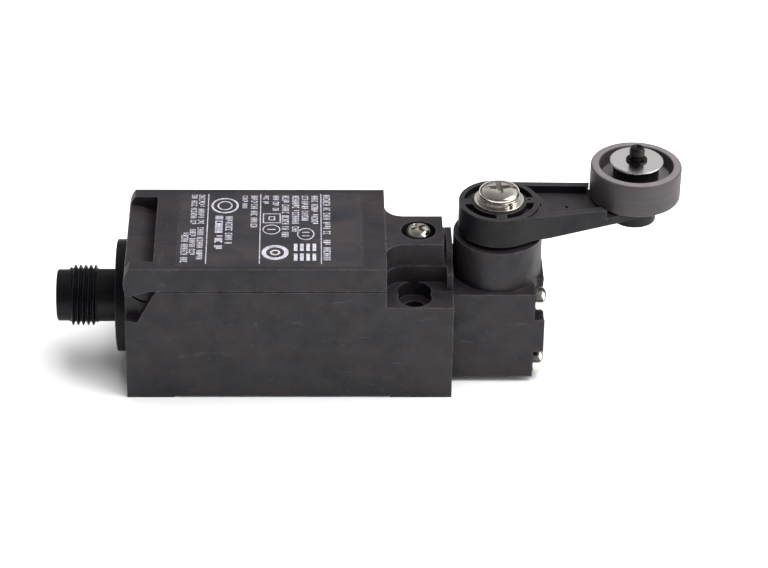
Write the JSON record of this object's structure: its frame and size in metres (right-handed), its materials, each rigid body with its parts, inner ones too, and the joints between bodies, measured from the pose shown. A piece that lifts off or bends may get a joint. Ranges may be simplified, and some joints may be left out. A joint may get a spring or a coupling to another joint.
{
  "type": "limit switch",
  "caption": "Roller-lever limit switch in a black plastic case with a hinged cover, a square head, a set lever and a round threaded connector.",
  "frame": {"origin": "on the mounting face, midway between the two fixing holes", "axes": "+X along the switch from the connector to the head, +Y across it, +Z out of the mounting face towards the cover"},
  "size_m": [0.1231, 0.0355, 0.0414],
  "materials": {
    "housing": "glass-filled charcoal plastic, satin, lightly scuffed",
    "lever_plastic": "moulded black plastic, satin",
    "roller_plastic": "moulded grey plastic, matte tread",
    "bush_plastic": "black plastic, satin",
    "connector_plastic": "black plastic, semi-gloss",
    "white_plastic": "off-white plastic, satin",
    "label": "dark printed plate, satin",
    "seal_rubber": "black rubber, matte",
    "plated_steel": "nickel-plated, satin, handled",
    "polished_steel": "polished flat washer",
    "spring_steel": "drawn wire",
    "dark_steel": "blackened steel",
    "contact_brass": "bare brass",
    "wire_cover": "insulated lead"
  },
  "bodies": {
    "case": {"case": "housing", "head_housing": "housing", "head_gasket": "seal_rubber", "head_screws": "plated_steel", "shaft_bushing": "contact_brass", "shaft_seal": "seal_rubber", "return_spring": "spring_steel", "plunger_spring": "spring_steel", "block_base": "white_plastic", "block_lid": "bush_plastic", "carriage_spring": "spring_steel", "fixed_contacts": "contact_brass", "terminal_clamps": "plated_steel", "terminal_screws": "plated_steel", "lead_wires": "wire_cover", "connector_shell": "connector_plastic", "connector_seal": "seal_rubber", "connector_insert": "connector_plastic", "contact_pins": "contact_brass", "screw_insert": "contact_brass"},
    "lever": {"rotary_shaft": "plated_steel", "cam": "plated_steel", "shaft_clip": "spring_steel", "lever_arm": "lever_plastic", "lever_washer": "plated_steel", "lever_spring_washer": "plated_steel", "lever_bolt": "plated_steel", "roller_bush": "bush_plastic", "roller_axle": "dark_steel", "roller_washer": "polished_steel", "axle_clip": "dark_steel"},
    "roller": {"roller": "roller_plastic"},
    "plunger": {"head_plunger": "white_plastic"},
    "carriage": {"contact_carriage": "bush_plastic", "contact_bridges": "contact_brass", "contact_springs": "spring_steel"},
    "cover": {"cover": "housing", "cover_gasket": "seal_rubber", "nameplate": "label", "cover_screw": "plated_steel"}
  },
  "joints": [
    {"name": "lever_swing", "type": "hinge", "parent": "case", "child": "lever", "pos_m": [0.0164, 0, 0.03], "axis": [0, 0, 1], "range_deg": [-75, 75], "stiffness_Nm_per_rad": 0.12, "deforming": ["return_spring"]},
    {"name": "roller_spin", "type": "hinge", "parent": "lever", "child": "roller", "pos_m": [0.04412, 0.01148, 0.0341], "axis": [0, 0, 1], "continuous": true},
    {"name": "plunger_slide", "type": "slide", "parent": "case", "child": "plunger", "axis": [-1, 0, 0], "range_m": [0, 0.004], "stiffness_N_per_m": 800, "deforming": ["plunger_spring"]},
    {"name": "contact_slide", "type": "slide", "parent": "case", "child": "carriage", "axis": [-1, 0, 0], "range_m": [0, 0.004], "stiffness_N_per_m": 200, "deforming": ["carriage_spring"]},
    {"name": "cover_hinge", "type": "hinge", "parent": "case", "child": "cover", "pos_m": [-0.0505, 0, 0.026], "axis": [0, -1, 0], "range_deg": [0, 40]}
  ],
  "couplings": [
    {"joint": "contact_slide", "follows": "plunger_slide", "ratio": 1}
  ]
}
